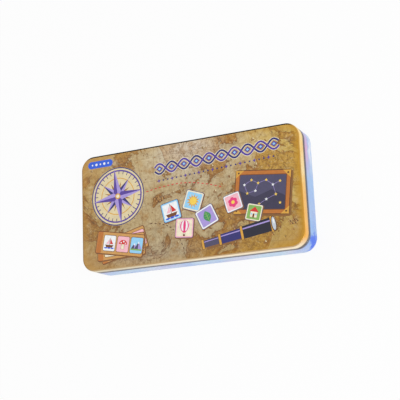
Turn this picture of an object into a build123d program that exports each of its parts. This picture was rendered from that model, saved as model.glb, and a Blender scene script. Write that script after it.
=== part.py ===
from build123d import *
import math
import os

# A memory card game in a hinged tin: a shallow case, a lid on two rolled hinges at the back,
# and a formed tray that keeps stacks of square picture cards and one stack of long boards.
# Millimetres. The tin lies on its underside, lid up. X runs along its length, Y to the hinges,
# Z up, and the origin is the middle of the underside.

# Tin, outside
case_length = 205.0
case_width = 103.0
corner_radius = 12.0
base_wall_height = 19.8
rim_gap = 0.3
lid_height = 9.9
sheet = 0.3
bottom_radius = 1.5
shoulder_radius = 1.2

# Rims: both are rolled inwards, and the lid's slides down over the neck of the base
curl_radius = 0.55
curl_turn = 270
nest_clearance = 0.6
neck_height = 7.0
step_radius = 0.5

# Stiffening bead pressed up into the floor
bead_inset = 7.5
bead_width = 3.4
bead_height = 0.6
bead_flange = 0.5

# Hinges: a base, a lid and a base knuckle on each wire pin
hinge_from_end = 42.5
knuckle_length = 8.0
knuckle_gap = 0.2
pin_radius = 0.6
pin_clearance = 0.05
hinge_standoff = 0.15
tongue_length = 5.0
tongue_corner = 2.0

# Tray
tray_sheet = 0.5
tray_clearance = 0.6
tray_draft = 2.0
tray_edge_bevel = 1.2
tray_margin = 5.0
tray_rib = 2.1
bead_headroom = 0.3
stack_recess = 3.5
least_finger_gap = 5.0
board_finger_gap = 13.8
scoop_radius = 9.0
scoop_reach = 3.0

# Printed contents
card_size = 37.0
card_thickness = 2.0
card_corner = 2.0
cards_per_stack = 8
board_count = 10
board_thickness = 1.5
board_corner = 3.0
card_clearance = 0.4
leaflet_paper = 0.3
leaflet_fold_gap = 0.1
leaflet_margin = 1.5

# Small bends, rolls and card corners are drawn as flats that each turn by this many degrees
flat_turn = 45

# Levels and places that follow from the sizes above
half_sheet = sheet / 2
lid_rim_level = base_wall_height + rim_gap
lid_top = lid_rim_level + lid_height
neck_inset = 2 * curl_radius + nest_clearance
neck_top = base_wall_height + neck_height
curl_middle = curl_radius - half_sheet

hole_radius = pin_radius + pin_clearance
knuckle_radius = hole_radius + sheet
hinge_y = case_width / 2 + hinge_standoff + knuckle_radius
hinge_level = base_wall_height + rim_gap / 2
knuckle_pitch = knuckle_length + knuckle_gap
pin_length = 2 * knuckle_pitch + knuckle_length

leaflet_thickness = 2 * leaflet_paper + leaflet_fold_gap
stack_height = max(cards_per_stack * card_thickness,
                   leaflet_thickness + board_count * board_thickness)
well_floor = sheet + bead_height + bead_headroom + tray_sheet
deck_level = well_floor + stack_height + stack_recess
well_depth = deck_level - well_floor
well_spread = 2 * well_depth * math.tan(math.radians(tray_draft))

tray_inset = neck_inset + 2 * curl_radius + tray_clearance
tray_height = deck_level - sheet
deck_inset = tray_inset + tray_height * math.tan(math.radians(tray_draft))
deck_length = case_length - 2 * deck_inset
deck_width = case_width - 2 * deck_inset

card_well = card_size + 2 * card_clearance + well_spread
board_well_length = deck_length - 2 * tray_margin - 2 * board_finger_gap - card_well
board_well_width = deck_width - 3 * tray_rib - card_well
board_length = board_well_length - well_spread - 2 * card_clearance
board_width = board_well_width - well_spread - 2 * card_clearance

front_row_y = (card_well - deck_width) / 2 + tray_rib
back_row_y = (deck_width - board_well_width) / 2 - tray_rib
board_x = (board_well_length - deck_length) / 2 + tray_margin
back_card_x = (deck_length - card_well) / 2 - tray_margin - board_finger_gap
row_length = deck_length - 2 * tray_margin
front_count = int((row_length + least_finger_gap) / (card_well + least_finger_gap))
front_pitch = (row_length - card_well) / max(front_count - 1, 1)
front_xs = [(i - (front_count - 1) / 2) * front_pitch for i in range(front_count)]
card_places = [(x, front_row_y) for x in front_xs] + [(back_card_x, back_row_y)]


# Shapes shared by the tin, the tray and the cards
def bend(x, y, radius, start, turn):
    """Points round a bend about x, y, from the start angle through the turn."""
    count = max(round(abs(turn) / flat_turn), 1)
    angles = [math.radians(start + turn * i / count) for i in range(count + 1)]
    return [(x + radius * math.cos(a), y + radius * math.sin(a)) for a in angles]


def soft_rectangle(length, width, corner):
    """A rectangle with a bend at each corner."""
    x, y = length / 2 - corner, width / 2 - corner
    centres = [(x, y), (-x, y), (-x, -y), (x, -y)]
    points = [point for i, (cx, cy) in enumerate(centres)
              for point in bend(cx, cy, corner, 90 * i, 90)]
    return make_face(Polyline(*points, close=True))


def outline(inset):
    """The tin's rounded outline, drawn in from the outer wall by inset."""
    return RectangleRounded(case_length - 2 * inset, case_width - 2 * inset,
                            corner_radius - inset)


def plate(inset, thickness):
    return extrude(outline(inset), amount=thickness)


def swept_sheet(line, inset=0.0):
    """Sheet metal along a line drawn inwards and up, carried round the outline."""
    path = outline(inset).face().outer_wire()
    inwards = Vector(0, 0, 1).cross(path % 0)
    start = Plane(origin=path @ 0, x_dir=inwards, z_dir=path % 0)
    return sweep(start * trace(line, sheet).face(), path=path)


# Tin
def base_wall():
    """Bottom corner, wall, step, neck and the neck's rim rolled inwards."""
    neck = neck_inset + half_sheet
    rim = neck_top - curl_radius
    low = bottom_radius - half_sheet
    turn = step_radius - half_sheet
    points = [(2 * bottom_radius, half_sheet)]
    points += bend(bottom_radius, bottom_radius, low, 270, -90)
    points += bend(step_radius, base_wall_height - step_radius, turn, 180, -90)
    points += bend(neck - step_radius, base_wall_height - half_sheet + step_radius,
                   step_radius, 270, 90)
    points += bend(neck + curl_middle, rim, curl_middle, 180, -curl_turn)
    return swept_sheet(Polyline(*points))


def floor_bead():
    """A flat-topped rib pressed up, with a short flange on each side."""
    half = bead_width / 2
    top = half - bead_height
    line = Polyline(
        (-half - bead_flange, half_sheet), (-half, half_sheet),
        (-top, half_sheet + bead_height), (top, half_sheet + bead_height),
        (half, half_sheet), (half + bead_flange, half_sheet),
    )
    return swept_sheet(line, bead_inset)


def base_floor():
    rim_ring = plate(bottom_radius, sheet) - plate(bead_inset - bead_width / 2, sheet)
    panel = plate(bead_inset + bead_width / 2, sheet)
    return rim_ring + panel + floor_bead()


def knuckle(up):
    """A tongue of sheet that leaves the wall and is rolled round the pin."""
    wall = case_width / 2 - half_sheet
    far = hinge_level + up * tongue_length
    side = Plane(origin=(-knuckle_length / 2, 0, 0), x_dir=(0, 1, 0), z_dir=(1, 0, 0))
    roll = Pos(hinge_y, hinge_level) * Circle(knuckle_radius)
    tongue_width = hinge_y - hole_radius - wall
    tongue = Pos(wall + tongue_width / 2, (hinge_level + far) / 2) * Rectangle(
        tongue_width, tongue_length)
    hole = Pos(hinge_y, hinge_level) * Circle(hole_radius)
    solid = extrude(side * (roll + tongue - hole), amount=knuckle_length)
    ends = solid.edges().filter_by(Axis.Y).group_by(Axis.Z)[-1 if up > 0 else 0]
    return fillet(ends, tongue_corner)


def hinge_xs():
    x = case_length / 2 - hinge_from_end
    return (-x, x)


def tin_base():
    part = base_wall() + base_floor()
    for x in hinge_xs():
        for side in (-1, 1):
            part += Pos(x + side * knuckle_pitch, 0, 0) * knuckle(-1)
    return part


def tin_lid():
    """Top panel, round shoulder and skirt, with the rim rolled inwards."""
    rim = lid_rim_level + curl_radius
    top = lid_top - half_sheet
    skirt = FilletPolyline((2 * shoulder_radius, top), (half_sheet, top), (half_sheet, rim),
                           radius=shoulder_radius - half_sheet)
    curl = Polyline(*bend(half_sheet + curl_middle, rim, curl_middle, 180, curl_turn))
    panel = Pos(0, 0, lid_top - sheet) * plate(shoulder_radius, sheet)
    part = swept_sheet(skirt + curl) + panel
    for x in hinge_xs():
        part += Pos(x, 0, 0) * knuckle(1)
    return part


def hinge_pin():
    return Pos(0, hinge_y, hinge_level) * Cylinder(pin_radius, pin_length, rotation=(0, 90, 0))


# Tray
def pocket(length, width, corner, grown):
    """A well from the deck down, narrowing by the draft; grown gives its outer skin."""
    mouth = soft_rectangle(length + 2 * grown, width + 2 * grown, corner + grown)
    block = extrude(Pos(0, 0, deck_level) * mouth, amount=-well_depth - grown)
    walls = block.faces().filter_by(Axis.Z, reverse=True)
    return draft(walls, Plane(origin=(0, 0, deck_level)), -tray_draft)


def scoop(start, end, y, grown):
    """A half-round finger notch across the web between two wells."""
    across = Plane(origin=(start - grown, y, deck_level), x_dir=(0, 1, 0), z_dir=(1, 0, 0))
    half_disc = Circle(scoop_radius + grown) - Pos(0, scoop_radius) * Rectangle(
        4 * scoop_radius, 2 * scoop_radius)
    return extrude(across * half_disc, amount=end - start + 2 * grown)


def recesses(grown):
    """All wells and finger notches as one body, at the mouth's size plus grown."""
    well_corner = card_corner + card_clearance
    parts = [Pos(x, y, 0) * pocket(card_well, card_well, well_corner, grown)
             for x, y in card_places]
    parts.append(Pos(board_x, back_row_y, 0)
                 * pocket(board_well_length, board_well_width,
                          board_corner + card_clearance, grown))
    half = card_well / 2
    for left, right in zip(front_xs, front_xs[1:]):
        parts.append(scoop(left + half - scoop_reach, right - half + scoop_reach,
                           front_row_y, grown))
    board_end = board_x + board_well_length / 2
    parts.append(scoop(board_end - scoop_reach, back_card_x - half + scoop_reach,
                       back_row_y, grown))
    parts.append(scoop(back_card_x + half - scoop_reach, deck_length / 2 - tray_margin,
                       back_row_y, grown))
    whole = parts[0]
    for part in parts[1:]:
        whole += part
    return whole


def tray_block(grown, height):
    """The deck and skirt as a solid block, with the deck's edge bevelled."""
    block = extrude(Pos(0, 0, sheet) * outline(tray_inset - grown), amount=height,
                    taper=tray_draft)
    return chamfer(block.faces().sort_by(Axis.Z)[-1].edges(), tray_edge_bevel)


def card_tray():
    skin = tray_block(0, tray_height)
    hollow = tray_block(-tray_sheet, tray_height - tray_sheet)
    return skin - hollow + recesses(tray_sheet) - recesses(0)


# Contents
def slab(length, width, thickness, corner):
    return extrude(soft_rectangle(length, width, corner), amount=thickness)


def rules_leaflet():
    """One sheet folded once, with its round fold at the back."""
    length = board_length - 2 * leaflet_margin
    half = board_width / 2 - leaflet_margin
    middle = leaflet_paper / 2
    fold = (leaflet_thickness - leaflet_paper) / 2
    points = [(-half, middle)]
    points += bend(half - fold - middle, middle + fold, fold, -90, 180)
    points += [(-half, middle + 2 * fold)]
    profile = trace(Polyline(*points), leaflet_paper).face()
    side = Plane(origin=(board_x - length / 2, back_row_y, well_floor),
                 x_dir=(0, 1, 0), z_dir=(1, 0, 0))
    return extrude(side * profile, amount=length)


def boards():
    board = slab(board_length, board_width, board_thickness, board_corner)
    bottom = well_floor + leaflet_thickness
    return [Pos(board_x, back_row_y, bottom + i * board_thickness) * board
            for i in range(board_count)]


def cards():
    card = slab(card_size, card_size, card_thickness, card_corner)
    return [Pos(x, y, well_floor + i * card_thickness) * card
            for x, y in card_places for i in range(cards_per_stack)]


def nodes():
    left_x, right_x = hinge_xs()
    pin = hinge_pin()
    pieces = {
        "tin_base": tin_base(),
        "tin_lid": tin_lid(),
        "hinge_pin_left": Pos(left_x, 0, 0) * pin,
        "hinge_pin_right": Pos(right_x, 0, 0) * pin,
        "card_tray": card_tray(),
        "rules_leaflet": rules_leaflet(),
    }
    for number, board in enumerate(boards(), start=1):
        pieces[f"country_board_{number:02d}"] = board
    for number, card in enumerate(cards(), start=1):
        pieces[f"picture_card_{number:02d}"] = card
    return pieces


os.makedirs("parts", exist_ok=True)
for name, piece in nodes().items():
    export_step(piece, f"parts/{name}.step")
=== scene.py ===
"""The memory card game tin: its print and metal, the tray and cards inside, floor, light and camera."""

import math

import bmesh
import bpy
from mathutils import Matrix, Vector
from mathutils.geometry import delaunay_2d_cdt

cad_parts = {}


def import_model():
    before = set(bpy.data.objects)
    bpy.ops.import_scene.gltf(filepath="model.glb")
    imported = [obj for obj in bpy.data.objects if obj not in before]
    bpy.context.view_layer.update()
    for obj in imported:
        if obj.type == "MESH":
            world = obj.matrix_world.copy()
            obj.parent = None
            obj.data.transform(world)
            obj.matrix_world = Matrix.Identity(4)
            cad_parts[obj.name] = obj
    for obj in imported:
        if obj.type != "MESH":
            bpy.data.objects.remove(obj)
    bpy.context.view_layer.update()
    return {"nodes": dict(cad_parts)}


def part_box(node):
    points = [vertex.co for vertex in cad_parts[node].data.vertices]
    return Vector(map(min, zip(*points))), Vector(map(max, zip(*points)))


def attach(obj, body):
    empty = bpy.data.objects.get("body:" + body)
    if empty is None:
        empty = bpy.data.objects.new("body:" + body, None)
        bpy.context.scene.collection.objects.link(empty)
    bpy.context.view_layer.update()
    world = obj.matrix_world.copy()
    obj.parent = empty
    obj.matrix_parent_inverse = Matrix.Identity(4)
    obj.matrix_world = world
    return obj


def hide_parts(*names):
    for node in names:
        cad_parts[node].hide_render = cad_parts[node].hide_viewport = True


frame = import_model()
MM = 0.001

# Camera, from a fit of the tin's edges in the photograph
frame_px = 400
focal_px = 980.9
sensor_mm = 36.0
view_azimuth = -60.08
view_elevation = 62.18
view_roll = 65.37
view_distance = 834.9
view_target = Vector((5.5, 1.8, 15.0))

# Tin, in millimetres
lid_low, lid_high = (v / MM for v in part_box("tin_lid"))
half_length = lid_high.x
half_width = -lid_low.y
lid_top = lid_high.z
corner_radius = 12.0
corner_steps = 14
corner_signs = ((1, 1), (-1, 1), (-1, -1), (1, -1))
sheet = 0.3
half_sheet = sheet / 2
bottom_radius = 1.5
shoulder_radius = 1.2
step_radius = 0.5
panel_inset = 3.0
wall_top = 19.8
wall_rows = (8.0, 14.0)
lid_rim = wall_top + 0.3
skirt_rows = (26.0, 23.0)
curl_radius = 0.55
curl_turn = 270
neck_inset = 1.7
neck_top = 26.8
bead_inset = 7.5
bead_width = 3.4
bead_height = 0.6
bead_ease = 0.25
floor_panel_inset = 10.4
floor_rim_inset = 4.0

# Hinges
pin_low, pin_high = (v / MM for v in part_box("hinge_pin_right"))
hinge_y = (pin_low.y + pin_high.y) / 2
hinge_z = (pin_low.z + pin_high.z) / 2
hinge_x = (pin_low.x + pin_high.x) / 2
knuckle_length = 8.0
knuckle_pitch = 8.2
hole_radius = 0.65
knuckle_radius = 0.95
tongue_length = 5.0
tongue_corner = 2.0
tongue_sink = 0.1
tongue_start = 0.4
roll_start = 170
roll_turn = 310
hole_turn = 300

# Cards and boards
card_count = 40
card_corner = 2.0
board_count = 10
board_corner = 3.0
edge_ease = 0.12
net_pitch = 5.0

# Print, and where it ends on the sheet
shore_level = 0.52
grid_pitch = 21.0
rays = 16
mark_count = 230
mark_margin = 6
mark_corner_gap = 17
golden_turn = 0.6180340
# Heights on the shoulder between which the painted dark line behind the lid, painted shade and dark
# reflection, is laid
painted_back_shade_low = lid_top - 1.4
painted_back_shade_high = lid_top - 1.0
rim_bare = 0.2
step_bare = 0.05
wall_print_inset = 2
cut_inside = 1
cut_tolerance = 1e-4

# Stage
floor_size = 8.0
floor_glow = 0.88
world_light = 0.62


def linear(red, green, blue):
    """A screen colour from 0 to 255 as the linear colour that shaders take."""
    def one(v):
        v /= 255
        return v / 12.92 if v <= 0.04045 else ((v + 0.055) / 1.055) ** 2.4
    return (one(red), one(green), one(blue), 1.0)


# Shaders
class Nodes:
    """A material's node tree in millimetres, with short calls for the nodes used here."""

    def __init__(self, name):
        self.material = bpy.data.materials.new(name)
        self.material.use_nodes = True
        self.tree = self.material.node_tree
        self.tree.nodes.clear()
        self.output = self.tree.nodes.new("ShaderNodeOutputMaterial")
        metres = self.tree.nodes.new("ShaderNodeTexCoord").outputs["Object"]
        self.place = self.vector("MULTIPLY", metres, (1 / MM,) * 3)

    def put(self, socket, value):
        if isinstance(value, bpy.types.NodeSocket):
            self.tree.links.new(value, socket)
        else:
            socket.default_value = value

    def add(self, kind, inputs=None, **settings):
        node = self.tree.nodes.new(kind)
        for key, value in settings.items():
            setattr(node, key, value)
        for key, value in (inputs or {}).items():
            self.put(node.inputs[key], value)
        return node

    def math(self, operation, *values):
        return self.add("ShaderNodeMath", dict(enumerate(values)), operation=operation).outputs[0]

    def plus(self, first, second):
        return self.math("ADD", first, second)

    def minus(self, first, second):
        return self.math("SUBTRACT", first, second)

    def times(self, first, second):
        return self.math("MULTIPLY", first, second)

    def larger(self, first, second):
        return self.math("MAXIMUM", first, second)

    def absolute(self, value):
        return self.math("ABSOLUTE", value)

    def vector(self, operation, *values):
        return self.add("ShaderNodeVectorMath", dict(enumerate(values)),
                        operation=operation).outputs[0]

    def stretched(self, *factors):
        return self.vector("MULTIPLY", self.place, factors)

    def shifted(self, *offset):
        return self.vector("ADD", self.place, offset)

    def distance(self, *point):
        return self.add("ShaderNodeVectorMath", {0: self.place, 1: point},
                        operation="DISTANCE").outputs["Value"]

    def split(self):
        return self.add("ShaderNodeSeparateXYZ", {0: self.place}).outputs

    def mix(self, factor, first, second, blend="MIX"):
        node = self.add("ShaderNodeMix", {0: factor, 6: first, 7: second},
                        data_type="RGBA", blend_type=blend)
        return node.outputs[2]

    def noise(self, scale, detail=3.0, rough=0.55, place=None, warp=0.0):
        return self.add("ShaderNodeTexNoise", {
            "Vector": place or self.place, "Scale": scale, "Detail": detail,
            "Roughness": rough, "Distortion": warp}).outputs["Fac"]

    def ramp(self, value, low, high, to_low=0.0, to_high=1.0):
        return self.add("ShaderNodeMapRange", {
            "Value": value, "From Min": low, "From Max": high,
            "To Min": to_low, "To Max": to_high}).outputs["Result"]

    def stops(self, value, *colours):
        """A colour ramp through evenly spaced colours."""
        node = self.add("ShaderNodeValToRGB", {"Fac": value})
        elements = node.color_ramp.elements
        while len(elements) < len(colours):
            elements.new(0.5)
        for index, colour in enumerate(colours):
            elements[index].position = index / (len(colours) - 1)
            elements[index].color = linear(*colour)
        return node.outputs["Color"]

    def near(self, value, level, width):
        """1 where value is at level, down to 0 at width from it."""
        return self.ramp(self.absolute(self.minus(value, level)), 0, width, 1, 0)

    def past_corners(self, x, y):
        """How far a point is past the middles of the corner bends: along x, along y, and in all."""
        px = self.minus(self.absolute(x), half_length - corner_radius)
        py = self.minus(self.absolute(y), half_width - corner_radius)
        squares = [self.math("POWER", self.larger(p, 0.0), 2.0) for p in (px, py)]
        return px, py, self.math("SQRT", self.plus(*squares))

    def inside(self, x, y):
        """Distance inwards from the tin's rounded outline."""
        px, py, reach = self.past_corners(x, y)
        flat = self.math("MINIMUM", self.larger(px, py), 0.0)
        return self.minus(corner_radius, self.plus(reach, flat))

    def painted_back_shade(self, x, y):
        """Strength of the painted dark line round the lid's edge, painted shade and dark reflection: full
        behind, faint at the left, none in front.
        """
        px, py, reach = self.past_corners(x, y)
        total = 0.0
        for past, side, fades, share in ((py, y, 0.78, 1.0), (px, self.times(x, -1.0), 0.3, 0.45)):
            facing = self.math("DIVIDE", self.larger(past, 0.0), self.larger(reach, 0.001))
            facing = self.times(facing, self.math("GREATER_THAN", side, 0.0))
            total = self.plus(total, self.ramp(facing, fades, 0.99, 0, share))
        return self.math("MINIMUM", total, 1.0)

    def surface(self, height=None, depth=0.02, strength=0.5, **inputs):
        """The material's shader, with a bump that is depth millimetres high."""
        shader = self.add("ShaderNodeBsdfPrincipled")
        for key, value in inputs.items():
            self.put(shader.inputs[key.replace("_", " ")], value)
        if height is not None:
            bump = self.add("ShaderNodeBump", {
                "Height": height, "Strength": strength, "Distance": depth * MM})
            self.put(shader.inputs["Normal"], bump.outputs["Normal"])
        self.put(self.output.inputs["Surface"], shader.outputs[0])
        return self.material

    def varnished(self, scale, **inputs):
        """Print whose varnish isn't quite even."""
        return self.surface(self.noise(scale, 2), 0.01, 0.25, **inputs)


def map_lines(n, x, y, coast):
    """Coastlines, curved meridians and rays from two points, as one darkness."""
    lines = n.near(coast, shore_level, 0.011)
    for level, dark in ((0.497, 0.6), (0.478, 0.4), (0.60, 0.6)):
        lines = n.larger(lines, n.times(n.near(coast, level, 0.004), dark))
    for across, along, bow in ((x, y, 0.0022), (y, x, 0.0004)):
        bowed = n.plus(across, n.times(n.times(along, along), bow))
        off = n.math("PINGPONG", n.math("DIVIDE", bowed, grid_pitch), 0.5)
        lines = n.larger(lines, n.ramp(off, 0.005, 0.012, 0.45, 0))
    for cx, cy in ((38.0, 14.0), (-30.0, -22.0)):
        dx, dy = n.minus(x, cx), n.minus(y, cy)
        reach = n.math("SQRT", n.plus(n.times(dx, dx), n.times(dy, dy)))
        turn = n.times(n.math("ARCTAN2", dy, dx), rays / (2 * math.pi))
        off = n.times(n.math("PINGPONG", turn, 0.5), n.times(reach, 2 * math.pi / rays))
        lines = n.larger(lines, n.ramp(off, 0.10, 0.26, 0.40, 0))
    return lines


def parchment():
    """An old chart of imaginary coasts, tan at the ends and pale between."""
    n = Nodes("parchment_print")
    x, y, _ = n.split()
    coast = n.noise(0.024, 9, 0.60, warp=0.6)
    stain = n.noise(0.014, 3, 0.5, n.shifted(300.0, 80.0, 0.0))
    patch = n.noise(0.11, 6, 0.65)
    grain = n.noise(0.36, 7, 0.72)
    marks = n.noise(1.0, 5, 0.7, n.stretched(0.8, 2.2, 1.0))
    along = n.ramp(n.plus(x, n.times(n.minus(stain, 0.5), 120.0)), -100, 100)
    sea = n.stops(along, (186, 155, 96), (191, 167, 118), (198, 182, 150),
                  (198, 178, 138), (206, 177, 106), (210, 177, 90))
    land = n.stops(along, (178, 134, 64), (182, 140, 72), (184, 146, 90),
                   (184, 142, 72), (198, 156, 70), (202, 162, 74))
    shore = n.stops(along, (146, 94, 34), (152, 102, 42), (158, 108, 50),
                    (158, 98, 34), (166, 110, 30), (164, 112, 26))
    country = n.mix(n.ramp(coast, shore_level, 0.585), shore, land)
    ground = n.mix(n.ramp(coast, shore_level - 0.005, shore_level + 0.005), sea, country)
    # Painted reflection of the studio light: a pale patch at the back middle of the lid.
    painted_highlight_reach = n.distance(4.0, half_width + 2.0, lid_top)
    ground = n.mix(n.ramp(painted_highlight_reach, 8.0, 36.0, 0.8, 0), ground, linear(222, 216, 204))
    # A paler, greyer patch towards the front left of the lid.
    pale_front_patch = n.times(n.ramp(y, -30.0, -44.0, 0, 0.85), n.near(x, -42.0, 60.0))
    ground = n.mix(pale_front_patch, ground, linear(192, 176, 156))
    ground = n.mix(n.ramp(patch, 0.52, 0.66, 0, 0.55), ground, linear(168, 120, 42))
    ground = n.mix(n.ramp(patch, 0.46, 0.32, 0, 0.4), ground, linear(220, 208, 176))
    ground = n.mix(n.ramp(grain, 0.51, 0.68, 0, 0.6), ground, linear(142, 98, 42))
    ground = n.mix(n.ramp(grain, 0.46, 0.32, 0, 0.45), ground, linear(226, 210, 168))
    written = n.times(n.ramp(marks, 0.58, 0.66), n.ramp(coast, 0.48, 0.56, 0.2, 0.8))
    ridges = n.times(n.near(n.noise(0.15, 5, 0.6, warp=1.0), 0.5, 0.030),
                     n.ramp(coast, 0.49, 0.55, 0.15, 0.85))
    lines = n.larger(n.larger(written, ridges), map_lines(n, x, y, coast))
    ground = n.mix(n.times(lines, 0.9), ground, linear(94, 58, 20))
    # Painted shade and light: the print is darkened towards the front and left paler at the back.
    ground = n.mix(n.ramp(y, 40.0, -40.0, 0.3, 1.0), ground, linear(227, 221, 207), "MULTIPLY")
    ends = n.minus(n.plus(n.absolute(x), n.absolute(y)), n.ramp(n.plus(x, y), 60.0, 140.0, 0, 30.0))
    ground = n.mix(n.ramp(ends, 112.0, 148.0, 0, 0.65), ground, linear(174, 128, 62))
    # Painted shade and dark reflection: a darker orange band just inside the shoulder, strongest at the
    # right end.
    painted_edge_shade = n.times(n.ramp(n.inside(x, y), 1.0, 7.0, 0.9, 0), n.ramp(x, 60.0, 98.0, 0.25, 1))
    ground = n.mix(painted_edge_shade, ground, linear(188, 138, 24))
    # Painted shade and dark reflection: a dark line along the panel's edge behind, fainter at the left,
    # with rougher varnish there.
    line = n.times(n.ramp(n.inside(x, y), 1.5, 1.25), n.painted_back_shade(x, y))
    ground = n.mix(line, ground, linear(44, 37, 28))
    rough = n.larger(n.ramp(grain, 0.3, 0.7, 0.30, 0.42), n.times(line, 0.9))
    return n.varnished(2.5, Base_Color=ground, Roughness=rough, Metallic=0.12,
                       Specular_IOR_Level=0.35)


def gold_edge():
    """Gold ink over tin on the shoulder and skirt, with painted shade above the rim and behind, and a
    painted highlight in front.
    """
    n = Nodes("gold_print")
    x, y, z = n.split()
    patch = n.noise(0.05, 5, 0.6)
    fine = n.noise(0.6, 5, 0.7)
    gold = n.stops(n.ramp(patch, 0.35, 0.65), (252, 192, 92), (255, 214, 126), (255, 228, 164))
    gold = n.mix(n.ramp(fine, 0.52, 0.72, 0, 0.4), gold, linear(206, 148, 62))
    right = n.times(n.ramp(x, half_length - 8.0, half_length - 2.0), n.ramp(y, 12.0, -24.0))
    gold = n.mix(n.times(right, 0.7), gold, linear(250, 180, 62))
    # Painted highlight: the front of the skirt is made paler cream, brighter towards the right.
    front = n.ramp(y, -half_width + 8.0, -half_width + 1.0)
    cream = n.mix(n.ramp(x, -70.0, 40.0), linear(204, 196, 172), linear(255, 246, 224))
    gold = n.mix(n.times(front, 0.7), gold, cream)
    # Painted shade: the inner shoulder, where it leaves the panel, is darkened to a brown-orange tone.
    shoulder = n.mix(front, linear(172, 122, 40), linear(168, 134, 90))
    gold = n.mix(n.ramp(z, lid_top - 0.7, lid_top - 0.2, 0, 0.85), gold, shoulder)
    # Painted shade and dark reflection: a dark line round the back of the shoulder, fainter at the left,
    # with rougher varnish there.
    line = n.times(n.ramp(z, painted_back_shade_low, painted_back_shade_high), n.painted_back_shade(x, y))
    gold = n.mix(line, gold, linear(26, 22, 16))
    # Painted shade along the seam: the skirt's lower edge is darkened to brown above the rolled rim,
    # reaching higher near the front and back.
    seam_shade_height = n.minus(z, n.ramp(n.absolute(y), half_width - 12.0, half_width - 1.0, 0, 1.2))
    gold = n.mix(n.ramp(seam_shade_height, lid_rim + 3.0, lid_rim + 0.8), gold, linear(58, 38, 16))
    rough = n.larger(n.ramp(fine, 0.3, 0.7, 0.26, 0.38), n.times(line, 0.9))
    return n.varnished(2.0, Base_Color=gold, Roughness=rough, Metallic=0.7)


def sky_print():
    """Pale clouds in blue and lilac on the base's wall, with painted shade under the lid's rim and a
    painted highlight low on the right end.
    """
    n = Nodes("sky_print")
    x, y, z = n.split()
    cloud = n.noise(0.030, 5, 0.55, warp=0.4)
    blush = n.noise(0.030, 3, 0.5, n.shifted(40.0, 210.0, 15.0))
    wisp = n.noise(0.30, 6, 0.65, n.stretched(0.6, 0.6, 1.8))
    puff = n.noise(0.14, 5, 0.6, n.shifted(0.0, 60.0, 90.0))
    sky = n.stops(n.ramp(cloud, 0.34, 0.66), (148, 186, 244), (162, 196, 246), (176, 212, 244),
                  (196, 224, 248), (182, 202, 244))
    sky = n.mix(n.ramp(blush, 0.52, 0.64, 0, 0.45), sky, linear(214, 190, 226))
    sky = n.mix(n.ramp(wisp, 0.50, 0.70, 0, 0.5), sky, linear(240, 247, 255))
    right = n.ramp(x, half_length - 6.0, half_length - 1.0)
    sky = n.mix(n.times(right, 0.6), sky, linear(132, 184, 246))
    bank = n.times(right, n.near(y, 32.0, 26.0))
    level = n.plus(z, n.ramp(puff, 0.3, 0.7, -3.5, 3.5))
    sky = n.mix(n.times(bank, n.ramp(level, 7.5, 12.5, 0, 0.9)), sky, linear(226, 166, 212))
    # Painted highlight: a white band low on the back half of the right end of the wall.
    sky = n.mix(n.times(bank, n.near(level, 4.5, 5.5)), sky, linear(244, 248, 255))
    corner = n.distance(half_length - 1.4, -half_width + 6.4, 5.5)
    edge = n.plus(corner, n.ramp(puff, 0.3, 0.7, -7.0, 7.0))
    sky = n.mix(n.ramp(edge, 8.0, 24.0, 0.75, 0), sky, linear(132, 180, 246))
    sky = n.mix(n.ramp(edge, 4.5, 9.0, 0.95, 0), sky, linear(14, 98, 242))
    # Painted shade: the top of the wall is darkened under the lid's rim.
    sky = n.mix(n.ramp(z, wall_top - 3.8, wall_top - 1.2, 0, 0.93), sky, linear(62, 54, 66))
    return n.varnished(2.0, Base_Color=sky, Roughness=n.ramp(wisp, 0.3, 0.7, 0.26, 0.36),
                       Metallic=0.1)


def tinplate():
    """Bright rolled sheet with fine streaks and a few dull spots."""
    n = Nodes("tinplate")
    streak = n.noise(1.0, 4, 0.6, n.stretched(0.03, 1.6, 1.6))
    spot = n.noise(0.09, 4, 0.6)
    metal = n.mix(n.ramp(streak, 0.3, 0.7), linear(182, 182, 180), linear(205, 204, 200))
    metal = n.mix(n.ramp(spot, 0.5, 0.7, 0, 0.22), metal, linear(166, 166, 163))
    return n.surface(streak, 0.006, 0.2, Base_Color=metal, Metallic=0.95,
                     Roughness=n.ramp(spot, 0.3, 0.7, 0.30, 0.46))


def brushed_wire():
    n = Nodes("brushed_wire")
    streak = n.noise(1.0, 4, 0.6, n.stretched(0.05, 6.0, 6.0))
    metal = n.mix(n.ramp(streak, 0.3, 0.7), linear(150, 150, 152), linear(200, 200, 202))
    return n.surface(streak, 0.01, Base_Color=metal, Metallic=1.0,
                     Roughness=n.ramp(streak, 0.3, 0.7, 0.2, 0.4))


def formed_plastic():
    """Matte formed sheet, slightly stippled, in a faintly uneven tone."""
    n = Nodes("formed_plastic")
    stipple = n.noise(1.6, 4, 0.6)
    cast = n.noise(0.03, 3, 0.5)
    plastic = n.mix(n.ramp(cast, 0.35, 0.65), linear(224, 223, 216), linear(236, 235, 230))
    plastic = n.mix(n.ramp(stipple, 0.5, 0.75, 0, 0.25), plastic, linear(206, 205, 197))
    return n.surface(stipple, 0.05, 0.4, Base_Color=plastic,
                     Roughness=n.ramp(stipple, 0.3, 0.7, 0.38, 0.52))


def fibrous(name, light, dark, rough=0.8):
    """Paper or board: short fibres and faint mottling."""
    n = Nodes(name)
    fibre = n.noise(1.2, 6, 0.7, n.stretched(0.7, 2.4, 3.0))
    colour = n.mix(n.ramp(fibre, 0.35, 0.7), linear(*light), linear(*dark))
    return n.surface(fibre, 0.03, 0.5, Base_Color=colour, Roughness=rough)


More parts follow.
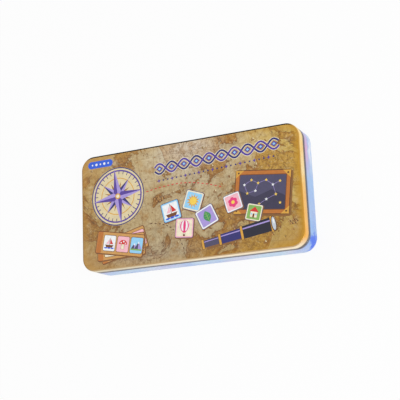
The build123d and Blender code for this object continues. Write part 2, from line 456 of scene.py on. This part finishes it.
def lattice():
    """The pattern on the cards' backs: a diagonal cream net on violet."""
    n = Nodes("card_back")
    x, y, _ = n.split()
    net = 0.0
    for turned in (n.plus(x, y), n.minus(x, y)):
        off = n.math("PINGPONG", n.math("DIVIDE", turned, net_pitch), 0.5)
        net = n.larger(n.ramp(off, 0.03, 0.05, 1, 0), net)
    ground = n.mix(n.ramp(n.noise(0.5, 4), 0.3, 0.7), linear(88, 66, 150), linear(102, 80, 166))
    colour = n.mix(net, ground, linear(232, 222, 196))
    return n.surface(n.noise(3.0, 2), 0.01, Base_Color=colour, Roughness=0.42)


ink_colours = {
    "purple": (84, 60, 150), "navy": (44, 42, 108), "lilac": (168, 150, 214),
    "cream": (240, 230, 202), "white": (240, 242, 244), "sky": (150, 208, 244),
    "blue": (42, 92, 214), "slate": (74, 70, 98), "slate_dark": (54, 50, 74),
    "black": (26, 26, 44), "brass": (214, 160, 62), "brown": (112, 62, 26),
    "ivory": (222, 206, 164), "sepia": (128, 88, 44), "olive": (158, 138, 74),
    "tan": (204, 152, 84), "amber": (186, 112, 44), "pink": (226, 60, 122),
    "rose": (246, 184, 196), "red": (206, 48, 44), "green": (62, 142, 84),
    "leaf": (132, 178, 92), "yellow": (246, 206, 84), "umber": (88, 54, 26),
    "shade": (134, 92, 46), "glass": (196, 204, 214),
}


def ink(name):
    """One printed colour under varnish, a little uneven."""
    n = Nodes(f"ink_{name}")
    colour = ink_colours[name]
    tone = n.noise(0.45, 5, 0.65)
    darker = linear(*(v * 0.94 for v in colour))
    lighter = linear(*(min(v * 1.03, 250) for v in colour))
    return n.varnished(2.5, Base_Color=n.mix(n.ramp(tone, 0.32, 0.68), darker, lighter),
                       Roughness=n.ramp(tone, 0.3, 0.7, 0.30, 0.40), Specular_IOR_Level=0.35)


# Print: flat figures in millimetres, later ones over earlier ones
def on_circle(x, y, radius, angle, high=None):
    """A point on a circle about x, y, or on an ellipse that is high along y."""
    return (x + radius * math.cos(angle), y + (high or radius) * math.sin(angle))


class Art:
    def __init__(self):
        self.figures = []
        self.at(0, 0)

    def at(self, x, y, turn=0, size=1):
        """Sets where the next figures go."""
        self.origin = Vector((x, y))
        self.size = size
        self.turn = Matrix.Rotation(math.radians(turn), 2)
        return self

    def polygon(self, colour, *points):
        placed = [self.origin + self.turn @ (Vector(p) * self.size) for p in points]
        area = sum(a.cross(b) for a, b in zip(placed, placed[1:] + placed[:1]))
        self.figures.append((placed if area > 0 else placed[::-1], colour))

    def disc(self, colour, x, y, wide, high=None, start=0, turn=360, count=28):
        steps = count if turn == 360 else count + 1
        angles = [math.radians(start + turn * i / count) for i in range(steps)]
        self.polygon(colour, *[on_circle(x, y, wide, a, high) for a in angles])

    def star(self, colour, x, y, outer, inner, tips, start=90):
        points = [on_circle(x, y, inner if i % 2 else outer, math.radians(start + 180 * i / tips))
                  for i in range(2 * tips)]
        self.polygon(colour, *points)

    def box(self, colour, x, y, length, width, corner=0.0):
        """A rectangle, with a bend of four flats at each corner if that has a radius."""
        cx, cy = length / 2 - corner, width / 2 - corner
        steps = 4 if corner else 0
        points = []
        for i, (sx, sy) in enumerate(corner_signs):
            for k in range(steps + 1):
                a = math.radians(90 * i + 90 * k / max(steps, 1))
                points.append(on_circle(x + sx * cx, y + sy * cy, corner, a))
        self.polygon(colour, *points)

    def stroke(self, colour, points, width, closed=False):
        """A line of even width, one four-sided figure for each stretch."""
        points = [Vector(p) for p in points]
        count = len(points)
        sides = []
        for i, point in enumerate(points):
            before = points[i - 1] if i or closed else point
            after = points[(i + 1) % count] if i + 1 < count or closed else point
            along = (after - before).normalized()
            across = Vector((-along.y, along.x)) * width / 2
            sides.append((point + across, point - across))
        for i in range(count if closed else count - 1):
            (a, b), (c, d) = sides[i], sides[(i + 1) % count]
            self.polygon(colour, a, b, d, c)

    def ring(self, colour, x, y, radius, width, count=40):
        points = [on_circle(x, y, radius, 2 * math.pi * i / count) for i in range(count)]
        self.stroke(colour, points, width, closed=True)


# Small pictures, each within half a unit of its middle
def sun(art):
    art.star("brass", 0, 0, 0.36, 0.20, 12)
    art.disc("yellow", 0, 0, 0.19)


def leaf_picture(art):
    side = [(0.02 + 0.20 * math.sin(math.pi * t / 8), -0.30 + 0.075 * t) for t in range(9)]
    other = [(0.04 - x, y) for x, y in side[1:-1]]
    art.polygon("green", *side, *other[::-1])
    art.stroke("leaf", [(0.02, -0.38), (0.02, 0.22)], 0.03)
    for level in (-0.14, 0.0, 0.12):
        art.stroke("leaf", [(-0.10, level + 0.07), (0.02, level), (0.14, level + 0.07)], 0.02)


def fish(art):
    art.polygon("amber", (0.14, 0), (0.38, 0.16), (0.33, 0), (0.38, -0.16))
    art.disc("red", -0.05, 0, 0.27, 0.16)
    art.polygon("amber", (-0.08, 0.14), (0.08, 0.26), (0.10, 0.12))
    for x in (-0.06, 0.04, 0.14):
        art.stroke("rose", [(x, 0.08), (x + 0.04, 0), (x, -0.08)], 0.02)
    art.disc("white", -0.19, 0.04, 0.04)
    art.disc("black", -0.20, 0.04, 0.018)


def house(art):
    art.box("brown", 0, -0.12, 0.47, 0.37)
    art.box("cream", 0, -0.12, 0.44, 0.34)
    art.polygon("red", (-0.30, 0.04), (0.30, 0.04), (0.0, 0.34))
    art.box("brown", 0, -0.18, 0.11, 0.22)
    for x in (-0.14, 0.14):
        art.box("sky", x, -0.10, 0.09, 0.10)


def tree(art):
    art.box("brown", 0, -0.28, 0.09, 0.20)
    for level, wide in ((-0.20, 0.28), (-0.04, 0.23), (0.12, 0.17)):
        art.polygon("green", (-wide, level), (wide, level), (0, level + 0.25))
        art.polygon("leaf", (-wide * 0.8, level + 0.02), (-wide * 0.2, level + 0.02), (0, level + 0.22))


def flower(art):
    for i in range(6):
        x, y = on_circle(0, 0, 0.17, math.radians(60 * i + 30))
        art.disc("pink", x, y, 0.12, count=18)
    art.disc("yellow", 0, 0, 0.10)


def boat(art):
    art.polygon("brown", (-0.32, -0.12), (0.34, -0.12), (0.22, -0.30), (-0.22, -0.30))
    art.stroke("umber", [(0, -0.12), (0, 0.36)], 0.03)
    art.polygon("red", (0.04, 0.34), (0.04, -0.06), (0.30, -0.06))
    art.polygon("rose", (-0.04, 0.28), (-0.04, -0.06), (-0.26, -0.06))
    for x in (-0.26, 0.0, 0.26):
        art.disc("blue", x, -0.34, 0.13, 0.05, count=12)


def mushroom(art):
    art.polygon("shade", (-0.105, 0.02), (0.105, 0.02), (0.14, -0.335), (-0.14, -0.335))
    art.polygon("cream", (-0.09, 0.02), (0.09, 0.02), (0.12, -0.32), (-0.12, -0.32))
    art.disc("red", 0, 0.0, 0.32, 0.30, 0, 180, 16)
    for x, y, r in ((-0.15, 0.10, 0.05), (0.04, 0.19, 0.06), (0.18, 0.07, 0.04)):
        art.disc("white", x, y, r, count=12)


def balloon(art):
    for i, colour in enumerate(("pink", "white", "pink", "white", "pink")):
        wide = 0.30 * math.cos(math.pi * i / 10)
        art.disc(colour, 0, 0.10, wide if i < 4 else 0.07, 0.30, count=20)
    art.polygon("pink", (-0.14, -0.14), (0.14, -0.14), (0.06, -0.24), (-0.06, -0.24))
    for x in (-0.05, 0.05):
        art.stroke("umber", [(x, -0.24), (x * 0.8, -0.32)], 0.015)
    art.box("brown", 0, -0.36, 0.12, 0.09, 0.02)


def mountains(art):
    for x, high, wide in ((-0.16, 0.16, 0.24), (0.14, 0.28, 0.28)):
        art.polygon("slate", (x - wide, -0.24), (x + wide, -0.24), (x, high))
        art.polygon("lilac", (x, -0.24), (x + wide, -0.24), (x, high))
        top = high - 0.13
        art.polygon("white", (x - wide * 0.25, top), (x, top - 0.04), (x + wide * 0.25, top), (x, high))
    art.box("leaf", 0, -0.29, 0.84, 0.10)


pictures = (sun, leaf_picture, fish, house, tree, flower, boat, mushroom, balloon, mountains)


# Larger pictures on the lid
def small_card(art, x, y, size, turn, border, field, picture):
    art.at(x + 0.45, y - 0.55, turn, size).box("shade", 0, 0, 1.03, 1.03, 0.1)
    art.at(x, y, turn, size).box("navy", 0, 0, 1.0, 1.0, 0.10)
    art.box(border, 0, 0, 0.95, 0.95, 0.08)
    art.box(field, 0, 0, 0.82, 0.82, 0.05)
    picture(art)


def board_picture(art, x, y, turn, size, fields):
    """A long tan board with a title strip and a row of squares."""
    art.at(x + 0.5, y - 0.6, turn, size).box("shade", 0, 0, 1.0, 0.42, 0.03)
    art.at(x, y, turn, size).box("brown", 0, 0, 1.0, 0.42, 0.03)
    art.box("tan", 0, 0, 0.975, 0.395, 0.025)
    art.box("amber", -0.43, 0, 0.105, 0.395, 0.02)
    for i, (field, picture) in enumerate(fields):
        art.at(x, y, turn, size)
        along = -0.22 + 0.285 * i
        middle = art.origin + art.turn @ Vector((along, 0)) * size
        art.box("umber", along, 0, 0.262, 0.302, 0.03)
        art.box(field, along, 0, 0.245, 0.285, 0.025)
        art.at(middle.x, middle.y, turn, size * 0.27)
        picture(art)


def compass_rose(art, x, y, size):
    art.at(x, y, 7, size)
    art.disc("ivory", 0, 0, 1.0, count=64)
    art.ring("navy", 0, 0, 0.98, 0.035, 64)
    art.ring("purple", 0, 0, 0.88, 0.05, 64)
    for i in range(32):
        a = 2 * math.pi * i / 32
        near = 0.76 if i % 4 else 0.70
        art.stroke("navy", [on_circle(0, 0, near, a), on_circle(0, 0, 0.86, a)], 0.025)
    art.ring("brass", 0, 0, 0.62, 0.03, 48)
    tips = ((22.5, 45, 0.52, 0.16, "umber", "tan"), (45, 90, 0.70, 0.18, "navy", "lilac"),
            (0, 90, 0.96, 0.20, "purple", "lilac"))
    for first, step, reach, inner, dark, light in tips:
        for i in range(360 // step):
            a = math.radians(first + step * i)
            for side, colour in ((1, dark), (-1, light)):
                b = a + side * math.radians(step / 2)
                art.polygon(colour, (0, 0), on_circle(0, 0, reach, a), on_circle(0, 0, inner, b))
    art.disc("brass", 0, 0, 0.10)
    art.disc("cream", 0, 0, 0.06)


def wave_band(art):
    """Two crossed waves with a diamond in each loop, over a row of small beads."""
    art.at(28, 33, 3)
    steps = [0.75 * k - 44 for k in range(118)]
    strands = (("cream", 2.5, 1), ("cream", 2.5, -1), ("navy", 1.7, 1), ("purple", 1.7, -1))
    for colour, wide, sign in strands:
        wave = [(1.3 * t, sign * 4.4 * math.sin(t * math.pi / 9)) for t in steps]
        art.stroke(colour, wave, wide)
    for i in range(-5, 5):
        middle = 11.7 * (i + 0.5)
        for colour, reach, high in (("purple", 3.0, 2.6), ("sky", 1.4, 1.2)):
            art.polygon(colour, (middle - reach, 0), (middle, high), (middle + reach, 0), (middle, -high))
    for i in range(26):
        x = -54 + 4.2 * i
        if i % 3:
            art.disc("navy", x, -10.4, 0.75, count=12)
        else:
            art.star("purple", x, -10.4, 1.9, 0.7, 4)


def spyglass(art, x, y, turn, size):
    art.at(x + 0.8, y - 1.2, turn, size).box("shade", 0, 0, 1.0, 0.13, 0.03)
    art.at(x, y, turn, size)
    tubes = ((-0.40, 0.26, 0.052, "slate"), (-0.12, 0.34, 0.070, "navy"), (0.26, 0.46, 0.092, "black"))
    for middle, length, half, colour in tubes:
        left, right = middle - length / 2, middle + length / 2
        art.polygon(colour, (left, -half * 0.93), (right, -half), (right, half), (left, half * 0.93))
        art.polygon("lilac", (left, half * 0.42), (right, half * 0.45),
                    (right, half * 0.66), (left, half * 0.62))
    for middle, half in ((-0.53, 0.064), (-0.28, 0.074), (0.04, 0.094), (0.47, 0.106)):
        art.box("umber", middle, 0, 0.042, 2 * half + 0.012, 0.008)
        art.box("brass", middle, 0, 0.030, 2 * half, 0.006)
    art.disc("umber", 0.495, 0, 0.036, 0.106)
    art.disc("glass", 0.497, 0, 0.026, 0.090)
    art.disc("white", 0.502, 0.03, 0.010, 0.035)


def star_chart(art, x, y, turn):
    """A framed slate panel with a night sky on it."""
    art.at(x + 0.9, y - 1.2, turn).box("shade", 0, 0, 50, 38, 2)
    art.at(x, y, turn)
    art.box("umber", 0, 0, 49, 37, 2)
    art.box("amber", 0, 0, 47.6, 35.6, 1.6)
    art.box("brown", 0, 0, 41.6, 29.6, 1.2)
    art.box("slate", 0, 0, 40.4, 28.4, 1)
    for sx in (-1, 1):
        for sy in (-1, 1):
            art.polygon("brass", (sx * 24, sy * 18), (sx * 17, sy * 18), (sx * 24, sy * 11.5))
            art.disc("umber", sx * 21.6, sy * 15.8, 0.8, count=12)
    art.polygon("slate_dark", (-20.2, -14.2), (20.2, -14.2), (20.2, -3), (8, 2), (-6, -4), (-20.2, 1))
    places = [(-16, 6), (-10, 10), (-4, 7.5), (-6, 1), (-13, -1), (3, 10), (9, 6), (15, 9), (12, -2),
              (4, -6), (-2, -10), (16, -9)]
    for path in ((0, 1, 2, 3, 4, 0), (2, 5, 6, 7), (6, 8, 9, 10)):
        art.stroke("lilac", [places[i] for i in path], 0.28)
    for i, (sx, sy) in enumerate(places):
        art.star("yellow" if i % 3 else "white", sx, sy, 1.5, 0.6, 5)


def route(art, start, end, bow, colour, count=18):
    """A dashed path in an arc."""
    art.at(0, 0)
    start, end = Vector(start), Vector(end)
    side = Vector((-(end - start).y, (end - start).x)) * bow
    points = [start.lerp(end, t / (2 * count)) + side * math.sin(math.pi * t / (2 * count))
              for t in range(2 * count + 1)]
    for i in range(0, 2 * count, 2):
        art.stroke(colour, points[i:i + 2], 0.75)


def hills(art, x, y, size):
    for dx, dy in ((-1.1, 0), (0.1, 0.35), (1.2, -0.1), (0.5, -0.7), (-0.5, -0.75)):
        art.at(x + dx * size, y + dy * size, 0, size)
        art.polygon("umber", (-0.6, -0.3), (0.6, -0.3), (0, 0.45))
        art.polygon("tan", (-0.42, -0.24), (0.05, -0.24), (0, 0.30))


# Small marks on the chart
def wave_mark(art):
    for level in (0, 0.45):
        wave = [(-0.8 + 0.2 * i, level + 0.16 * math.sin(i * math.pi / 2.5)) for i in range(9)]
        art.stroke("sepia", wave, 0.13)


def tree_mark(art):
    art.stroke("sepia", [(0, -0.7), (0, 0.1)], 0.16)
    art.disc("sepia", 0, 0.35, 0.42, 0.5, count=10)
    art.disc("olive", -0.06, 0.42, 0.26, 0.32, count=8)


def hill_mark(art):
    art.polygon("sepia", (-0.9, -0.4), (0.9, -0.4), (0.1, 0.7))
    art.polygon("tan", (-0.62, -0.3), (0.1, -0.3), (0.08, 0.46))


def town_mark(art):
    art.box("sepia", 0, -0.2, 0.9, 0.7)
    art.polygon("sepia", (-0.6, 0.15), (0.6, 0.15), (0, 0.75))
    art.box("ivory", -0.18, -0.25, 0.2, 0.3)


def ship_mark(art):
    art.polygon("sepia", (-1.0, -0.3), (1.0, -0.3), (0.6, -0.8), (-0.6, -0.8))
    art.stroke("sepia", [(0, -0.3), (0, 0.9)], 0.12)
    art.polygon("ivory", (0.08, 0.8), (0.08, -0.15), (0.8, -0.15))
    art.polygon("sepia", (-0.1, 0.6), (-0.1, -0.15), (-0.7, -0.15))


def map_marks(art):
    """Small marks spread evenly over the whole lid, under the larger pictures."""
    marks = (wave_mark, tree_mark, hill_mark, wave_mark, hill_mark, town_mark, wave_mark, tree_mark,
             wave_mark, hill_mark, ship_mark)
    for i in range(mark_count):
        x = (i * golden_turn % 1 - 0.5) * 2 * (half_length - mark_margin)
        y = ((i + 0.5) / mark_count - 0.5) * 2 * (half_width - mark_margin)
        if abs(x) + abs(y) < half_length + half_width - mark_corner_gap:
            art.at(x, y, 8 * math.sin(i), 1.5 + 0.5 * math.sin(2.4 * i))
            marks[i * 7 % len(marks)](art)


def lid_art():
    art = Art()
    map_marks(art)
    route(art, (-38, 12), (34, 6), 0.08, "red")
    route(art, (-4, -42), (-37, -16), -0.2, "umber", 12)
    hills(art, -26, 5, 3.2)
    hills(art, 93, -30, 2.6)
    wave_band(art)
    compass_rose(art, -66, 12, 26)
    fans = (((-62, -31.6, 14), ("sky", "cream", "rose"), (2, 3, 5)),
            ((-64, -33, 2), ("cream", "sky", "white"), (8, 4, 0)),
            ((-65, -30.4, -11), ("white", "rose", "sky"), (6, 7, 9)))
    for (x, y, turn), fields, chosen in fans:
        board_picture(art, x, y, turn, 47, [(f, pictures[k]) for f, k in zip(fields, chosen)])
    star_chart(art, 68, -3, -7)
    for x, y, size, turn, border, field, k in (
            (-15, -8, 17, 12, "sky", "white", 6), (6, -2, 17, -20, "cream", "sky", 0),
            (-3, -24, 17, -6, "rose", "cream", 8), (18, -17, 17, 24, "white", "lilac", 1),
            (42, -8, 15, 14, "white", "rose", 5), (60, -19, 14, -16, "cream", "leaf", 3)):
        small_card(art, x, y, size, turn, border, field, pictures[k])
    spyglass(art, 46, -35, 9, 62)
    art.at(-83, 43.5, 0).box("blue", 0, 0, 25, 6.4, 3.1)
    for i in range(5):
        art.disc("white", -8 + 4 * i, 0, 1.15 if i % 2 else 0.8, count=14)
    return art


# Meshes: points and faces in millimetres, with a material for each face
class Shape:
    def __init__(self):
        self.points, self.faces, self.finish = [], [], []

    def loop(self, points, z=None):
        start = len(self.points)
        self.points += [(*p, z) if z is not None else tuple(p) for p in points]
        return list(range(start, len(self.points)))

    def bridge(self, low, high, material):
        for i in range(len(low)):
            j = (i + 1) % len(low)
            self.cap((low[i], low[j], high[j], high[i]), material)

    def cap(self, loop, material):
        self.faces.append(loop)
        self.finish.append(material)

    def printed_cap(self, loop, figures, ground):
        """Covers a flat loop with ground, and with figures laid over it in order."""
        z = self.points[loop[0]][2]
        borders = [[self.points[i][:2] for i in loop]] + [points for points, _ in figures]
        finishes = [ground] + [inks[colour] for _, colour in figures]
        coords, faces = [], []
        for border in borders:
            faces.append(list(range(len(coords), len(coords) + len(border))))
            coords += [Vector(p[:2]) for p in border]
        cut = delaunay_2d_cdt(coords, [], faces, cut_inside, cut_tolerance)
        points, _, triangles, sources, _, owners = cut
        places = []
        for point, source in zip(points, sources):
            edge = [s for s in source if s < len(loop)]
            places.append(loop[edge[0]] if edge else self.loop([point], z)[0])
        for triangle, owner in zip(triangles, owners):
            if 0 in owner:
                self.cap([places[i] for i in triangle], finishes[max(owner)])

    def piece(self, name, body, slot, *nodes, sharp=32):
        data = bpy.data.meshes.new(name)
        data.from_pydata([Vector(p) * MM for p in self.points], [], self.faces)
        order = list(dict.fromkeys(self.finish))
        for material in order:
            data.materials.append(material)
        data.polygons.foreach_set("material_index", [order.index(m) for m in self.finish])
        build = bmesh.new()
        build.from_mesh(data)
        bmesh.ops.recalc_face_normals(build, faces=build.faces)
        build.to_mesh(data)
        build.free()
        data.polygons.foreach_set("use_smooth", [True] * len(data.polygons))
        data.set_sharp_from_angle(angle=math.radians(sharp))
        piece = bpy.data.objects.new(name, data)
        bpy.context.scene.collection.objects.link(piece)
        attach(piece, body)
        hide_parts(*nodes)
        return piece


def bend(x, y, radius, start, turn, step=15):
    """Points round a bend about x, y."""
    count = max(round(abs(turn) / step), 1)
    return [on_circle(x, y, radius, math.radians(start + turn * i / count)) for i in range(count + 1)]


def rounded_line(points, radius):
    """A line through points with each inner corner eased."""
    points = [Vector(p) for p in points]
    line = [points[0]]
    for before, corner, after in zip(points, points[1:], points[2:]):
        start = corner + (before - corner).normalized() * radius
        end = corner + (after - corner).normalized() * radius
        line += [start.lerp(corner, t / 4).lerp(corner.lerp(end, t / 4), t / 4) for t in range(5)]
    return line + [points[-1]]


def both_faces(line):
    """The left and right face of sheet metal whose middle follows a line."""
    left, right = [], []
    line = [Vector(p) for p in line]
    for i, point in enumerate(line):
        along = (line[min(i + 1, len(line) - 1)] - line[max(i - 1, 0)]).normalized()
        across = Vector((-along.y, along.x)) * half_sheet
        left.append(point + across)
        right.append(point - across)
    return left, right


def outline(inset):
    """Points round the tin's outline, drawn in from the outer wall by inset."""
    points = []
    cx, cy = half_length - corner_radius, half_width - corner_radius
    for i, (sx, sy) in enumerate(corner_signs):
        points += bend(sx * cx, sy * cy, corner_radius - inset, 90 * i, 90, 90 / corner_steps)
    return points


def lid_line():
    """From the top panel out over the shoulder, down the skirt and round the rolled rim."""
    rim = lid_rim + curl_radius
    line = [(panel_inset, lid_top - half_sheet)]
    line += bend(shoulder_radius, lid_top - shoulder_radius, shoulder_radius - half_sheet, 90, 90)
    line += [(half_sheet, z) for z in skirt_rows]
    line += bend(curl_radius, rim, curl_radius - half_sheet, 180, curl_turn)
    return line


def base_line():
    """From the floor panel out over the bead, up the wall, in over the step and up the neck."""
    neck = neck_inset + half_sheet
    half = bead_width / 2
    bead_top = half_sheet + bead_height
    bead = [(half, half_sheet), (half - bead_height, bead_top), (bead_height - half, bead_top),
            (-half, half_sheet)]
    floor_line = [(floor_panel_inset, half_sheet)]
    floor_line += [(bead_inset + x, z) for x, z in bead]
    floor_line += [(floor_rim_inset, half_sheet)]
    line = rounded_line(floor_line, bead_ease)
    line += bend(bottom_radius, bottom_radius, bottom_radius - half_sheet, 270, -90)
    line += [(half_sheet, z) for z in wall_rows]
    line += bend(step_radius, wall_top - step_radius, step_radius - half_sheet, 180, -90)
    line += bend(neck - step_radius, wall_top - half_sheet + step_radius, step_radius, 270, 90)
    line += bend(neck + curl_radius - half_sheet, neck_top - curl_radius,
                 curl_radius - half_sheet, 180, -curl_turn)
    return line


def swept(shape, outer, inner, finish):
    """Carries a sheet's two faces round the outline; gives the loops at their inner ends."""
    sides = [(p, True) for p in outer] + [(p, False) for p in reversed(inner)]
    loops = [shape.loop(outline(p[0]), p[1]) for p, _ in sides]
    for i in range(len(loops) - 1):
        middle = (sides[i][0] + sides[i + 1][0]) / 2
        outside = sides[i][1] and sides[i + 1][1]
        shape.bridge(loops[i], loops[i + 1], finish(outside, *middle))
    return loops[0], loops[-1]


def knuckle(shape, x, up):
    """A tongue on the back wall, rolled round the pin; up is 1 on the lid and -1 on the base."""
    back = half_width - tongue_sink
    rolled = bend(0, 0, knuckle_radius, roll_start, roll_turn)
    rolled += bend(0, 0, hole_radius, roll_start + roll_turn, -hole_turn)
    half = knuckle_length / 2
    ends = [(-half + tongue_corner * (1 - math.cos(a)), tongue_corner * (1 - math.sin(a)))
            for a in (math.radians(15 * i) for i in range(7))]
    ends += [(-sx, drop) for sx, drop in reversed(ends)]
    loops = []
    for sx, drop in ends:
        far = tongue_length - drop
        section = [(back, far), (back, tongue_start)]
        section += [(hinge_y + a, b) for a, b in rolled]
        section += [(hinge_y - hole_radius, far)]
        loops.append(shape.loop([(x + sx, a, hinge_z + up * b) for a, b in section]))
    for low, high in zip(loops, loops[1:]):
        shape.bridge(low, high, bare_tin)
    shape.cap(loops[0], bare_tin)
    shape.cap(loops[-1], bare_tin)


def lid_piece():
    shape = Shape()
    inner, outer = both_faces(lid_line())

    def finish(outside, inset, z):
        if not outside or z < lid_rim + rim_bare:
            return bare_tin
        return edge_print if inset < shoulder_radius else chart_print

    top, under = swept(shape, outer, inner, finish)
    shape.printed_cap(top, lid_art().figures, chart_print)
    shape.cap(under, bare_tin)
    for x in (-hinge_x, hinge_x):
        knuckle(shape, x, 1)
    shape.piece("lid", "lid", "lid_tinplate", "tin_lid")


def base_piece():
    shape = Shape()
    outer, inner = both_faces(base_line())

    def finish(outside, inset, z):
        printed = outside and z < wall_top - step_bare and inset < wall_print_inset
        return wall_print if printed else bare_tin

    under, floor_loop = swept(shape, outer, inner, finish)
    shape.cap(under, bare_tin)
    shape.cap(floor_loop, bare_tin)
    for x in (-hinge_x, hinge_x):
        for side in (-1, 1):
            knuckle(shape, x + side * knuckle_pitch, -1)
    shape.piece("base", "case", "base_tinplate", "tin_base")


def slab(node, slot, corner, figures, face):
    """A printed card in its node's place, with rounded corners and slightly eased edges."""
    low, high = (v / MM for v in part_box(node))
    cx, cy = (low.x + high.x) / 2, (low.y + high.y) / 2
    length, width = high.x - low.x, high.y - low.y
    shape = Shape()
    loops = []
    for inset, z in ((edge_ease, low.z), (0, low.z + edge_ease), (0, high.z - edge_ease),
                     (edge_ease, high.z)):
        rim = Art().at(cx, cy)
        rim.box("white", 0, 0, length - 2 * inset, width - 2 * inset, corner - inset)
        loops.append(shape.loop(rim.figures[0][0], z))
    for a, b in zip(loops, loops[1:]):
        shape.bridge(a, b, grey_board)
    shape.cap(loops[0], card_back)
    shape.printed_cap(loops[-1], figures(cx, cy, length, width), face)
    shape.piece(f"{node}_print", "case", slot, node, sharp=60)


def card_face(number):
    """What draws a square card's face: one small picture on a coloured field."""
    fields = ("sky", "cream", "rose", "leaf", "lilac", "yellow", "white", "sky")
    field = fields[(number + number // 8 * 3) % len(fields)]

    def figures(x, y, length, _):
        art = Art().at(x, y, 0, length)
        art.box("navy", 0, 0, 0.90, 0.90, 0.06)
        art.box(field, 0, 0, 0.875, 0.875, 0.05)
        art.at(x, y, 0, length * 0.95)
        pictures[(number - 1) % len(pictures)](art)
        return art.figures
    return figures


def board_face(number):
    """What draws a long board's face: a row of small stars over four pictures."""
    fields = ("sky", "cream", "rose", "white", "leaf", "lilac")

    def figures(x, y, length, width):
        art = Art().at(x, y)
        art.box("brown", 0, 0, length - 3, width - 3, 2)
        art.box("tan", 0, 0, length - 4, width - 4, 1.6)
        strip = width / 2 - 6.5
        art.box("amber", 0, strip, length - 8, 6.5, 1.2)
        for i in range(-6, 7):
            art.star("cream", i * 7.5, strip, 1.6, 0.7, 4)
        for i in range(4):
            px = (i - 1.5) * 27.5
            art.at(x + px, y - 4.5)
            art.box("umber", 0, 0, 25, 30, 1.8)
            art.box(fields[(number + i) % len(fields)], 0, 0, 24, 29, 1.5)
            art.at(x + px, y - 4.5, 0, 25)
            pictures[(number * 4 + i) % len(pictures)](art)
        return art.figures
    return figures


def paint(node, material):
    """Gives a CAD node's object one material in every slot."""
    slots = frame["nodes"][node].data.materials
    if not slots:
        slots.append(material)
    for index in range(len(slots)):
        slots[index] = material


# Stage, light and camera
def floor():
    bpy.ops.mesh.primitive_plane_add(size=floor_size, location=(0, 0, 0))
    ground = bpy.context.object
    ground.name = "floor"
    n = Nodes("floor_white")
    ray = n.add("ShaderNodeLightPath").outputs
    seen = n.larger(ray["Is Camera Ray"], n.larger(ray["Is Glossy Ray"], ray["Is Transmission Ray"]))
    matte = n.add("ShaderNodeBsdfDiffuse", {"Color": linear(240, 240, 240)}).outputs[0]
    glow = n.add("ShaderNodeEmission", {"Color": (1, 1, 1, 1), "Strength": 1.0}).outputs[0]
    mixed = n.add("ShaderNodeMixShader", {0: n.times(seen, floor_glow), 1: matte, 2: glow})
    n.put(n.output.inputs["Surface"], mixed.outputs[0])
    ground.data.materials.append(n.material)


def world():
    """White where it is seen or mirrored, and a lower, even light on the object."""
    studio = bpy.data.worlds.new("studio")
    bpy.context.scene.world = studio
    studio.use_nodes = True
    nodes, links = studio.node_tree.nodes, studio.node_tree.links
    back = nodes["Background"]
    back.inputs["Color"].default_value = (1, 1, 1, 1)
    path = nodes.new("ShaderNodeLightPath")
    seen = path.outputs["Is Camera Ray"]
    for ray in ("Is Glossy Ray", "Is Transmission Ray"):
        either = nodes.new("ShaderNodeMath")
        either.operation = "MAXIMUM"
        links.new(seen, either.inputs[0])
        links.new(path.outputs[ray], either.inputs[1])
        seen = either.outputs[0]
    level = nodes.new("ShaderNodeMapRange")
    links.new(seen, level.inputs["Value"])
    level.inputs["To Min"].default_value = world_light
    level.inputs["To Max"].default_value = 1.0
    links.new(level.outputs["Result"], back.inputs["Strength"])


def lamp(name, place, size, power):
    """A square lamp that faces the tin."""
    data = bpy.data.lights.new(name, "AREA")
    data.size = size
    data.energy = power
    light = bpy.data.objects.new(name, data)
    bpy.context.scene.collection.objects.link(light)
    light.location = place
    light.rotation_euler = (-Vector(place)).to_track_quat("-Z", "Y").to_euler()


def camera():
    azimuth, elevation = math.radians(view_azimuth), math.radians(view_elevation)
    forward = Vector((math.sin(azimuth) * math.cos(elevation),
                      math.cos(azimuth) * math.cos(elevation), -math.sin(elevation)))
    level = forward.cross(Vector((0, 0, 1))).normalized()
    roll = math.radians(view_roll)
    up = level.cross(forward) * math.cos(roll) + level * math.sin(roll)
    data = bpy.data.cameras.new("camera")
    data.sensor_width = sensor_mm
    data.lens = focal_px / frame_px * sensor_mm
    data.clip_start = 0.01
    data.clip_end = 20.0
    eye = bpy.data.objects.new("camera", data)
    bpy.context.scene.collection.objects.link(eye)
    turn = Matrix((forward.cross(up), up, -forward)).transposed().to_4x4()
    eye.matrix_world = Matrix.Translation((view_target - forward * view_distance) * MM) @ turn
    bpy.context.scene.camera = eye


bare_tin = tinplate()
chart_print = parchment()
edge_print = gold_edge()
wall_print = sky_print()
inks = {name: ink(name) for name in ink_colours}
card_back = lattice()
grey_board = fibrous("grey_board", (196, 190, 178), (164, 158, 146))
card_white = fibrous("card_face", (240, 240, 236), (230, 229, 222), 0.45)
board_tan = fibrous("board_face", (206, 158, 92), (186, 134, 68), 0.45)

lid_piece()
base_piece()
for k in range(1, card_count + 1):
    slab(f"picture_card_{k:02d}", "picture_card", card_corner, card_face(k), card_white)
for k in range(1, board_count + 1):
    slab(f"country_board_{k:02d}", "board_card", board_corner, board_face(k), board_tan)
paint("card_tray", formed_plastic())
paint("rules_leaflet", fibrous("leaflet_paper", (242, 240, 232), (226, 224, 214)))
for side_name in ("left", "right"):
    paint(f"hinge_pin_{side_name}", brushed_wire())

floor()
world()
lamp("key_light", (0.75, -0.45, 1.25), 0.9, 9.0)
lamp("fill_light", (-0.9, 0.5, 1.0), 1.2, 3.0)
camera()
bpy.context.scene.view_settings.view_transform = "Standard"
